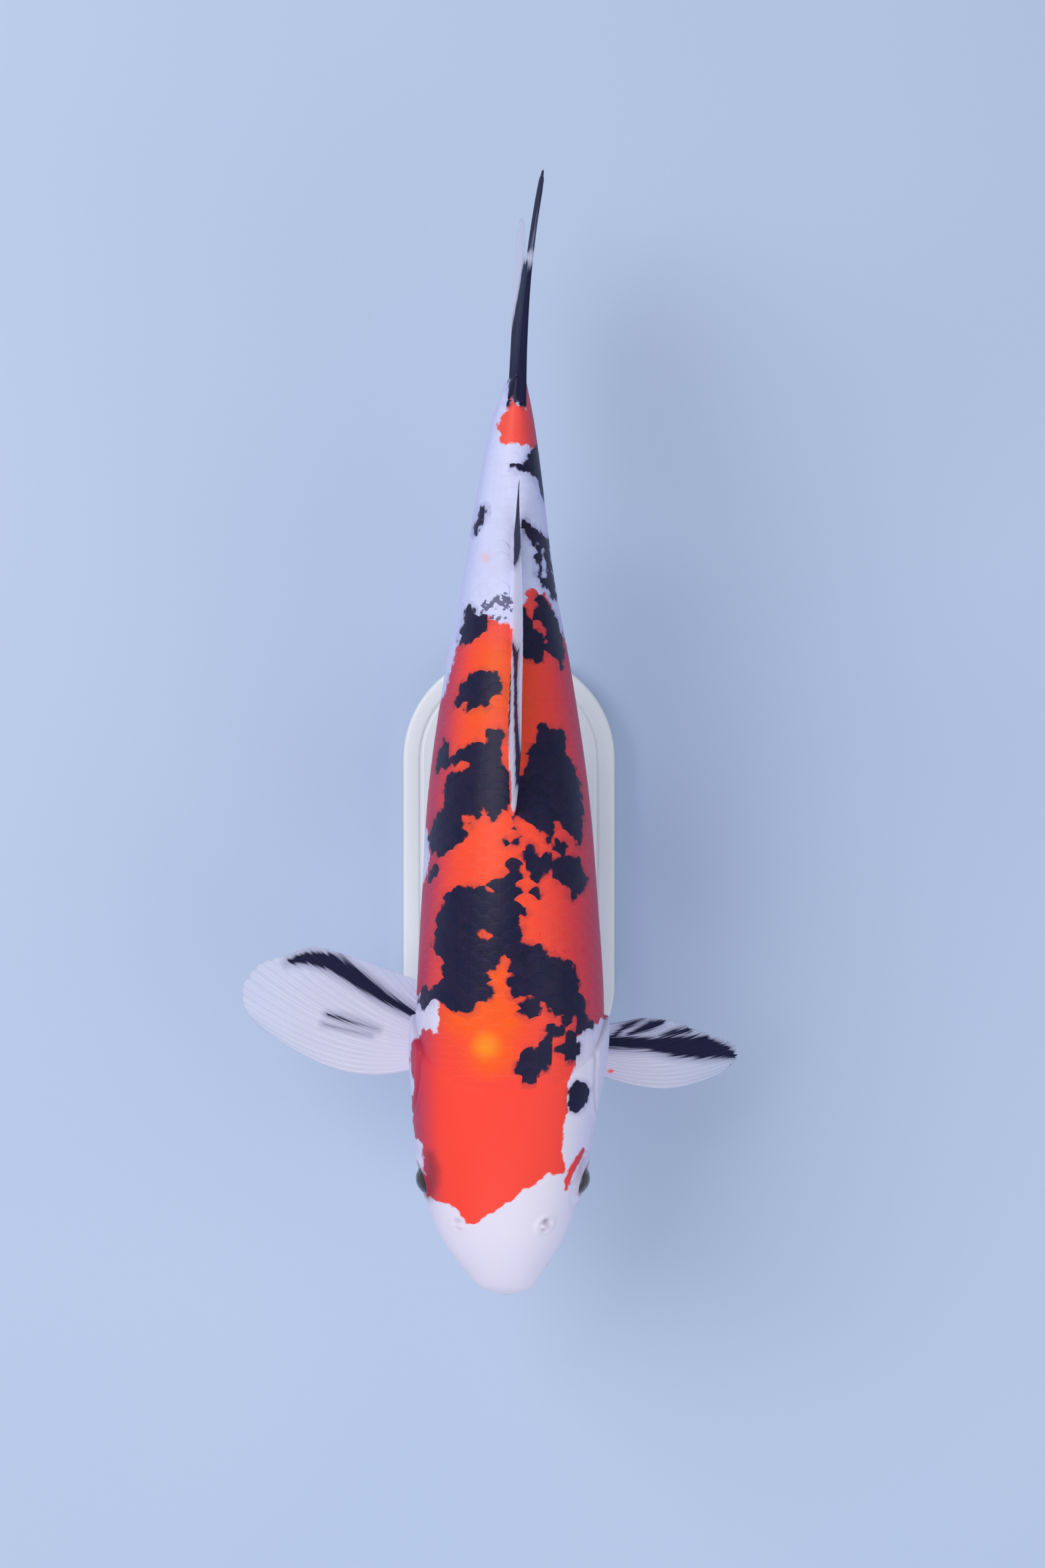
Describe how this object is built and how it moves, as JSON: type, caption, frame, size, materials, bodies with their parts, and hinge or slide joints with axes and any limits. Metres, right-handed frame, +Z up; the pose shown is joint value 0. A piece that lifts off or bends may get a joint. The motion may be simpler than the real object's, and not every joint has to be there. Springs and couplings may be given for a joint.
{
  "type": "koi carp",
  "caption": "Life-size still model of a koi carp with white, scarlet and black skin, swimming level with spread paired fins, held on a plain display stand by short rods.",
  "frame": {"origin": "centre of the stand's underside, on the floor", "axes": "+Z up, fish's back up; +Y from the snout towards the tail; +X the fish's left side"},
  "size_m": [0.2072, 0.443, 0.1985],
  "materials": {
    "scarlet_skin": "satin scarlet fish skin",
    "white_skin": "satin pearl white fish skin",
    "black_skin": "satin ink black fish skin",
    "fin": "milky, partly clear fin skin over fine rays",
    "barbel": "satin pale skin",
    "eye": "wet gloss",
    "base_lacquer": "satin pale grey lacquer on steel",
    "rod_steel": "brushed"
  },
  "bodies": {
    "root": {"head": "scarlet_skin", "lower_jaw": "white_skin", "gill_cover_left": "white_skin", "gill_cover_right": "scarlet_skin", "eye_left": "eye", "eye_right": "eye", "barbel_lip_left": "barbel", "barbel_lip_right": "barbel", "barbel_corner_left": "barbel", "barbel_corner_right": "barbel", "trunk_front": "scarlet_skin", "trunk_middle": "black_skin", "trunk_rear": "white_skin", "tail_stalk": "white_skin", "dorsal_fin": "fin", "anal_fin": "fin", "pectoral_fin_left": "fin", "pectoral_fin_right": "fin", "pelvic_fin_left": "fin", "pelvic_fin_right": "fin", "tail_fin_upper": "fin", "tail_fin_lower": "fin", "stand_base": "base_lacquer", "stand_rod_front": "rod_steel", "stand_rod_rear": "rod_steel"}
  },
  "joints": []
}
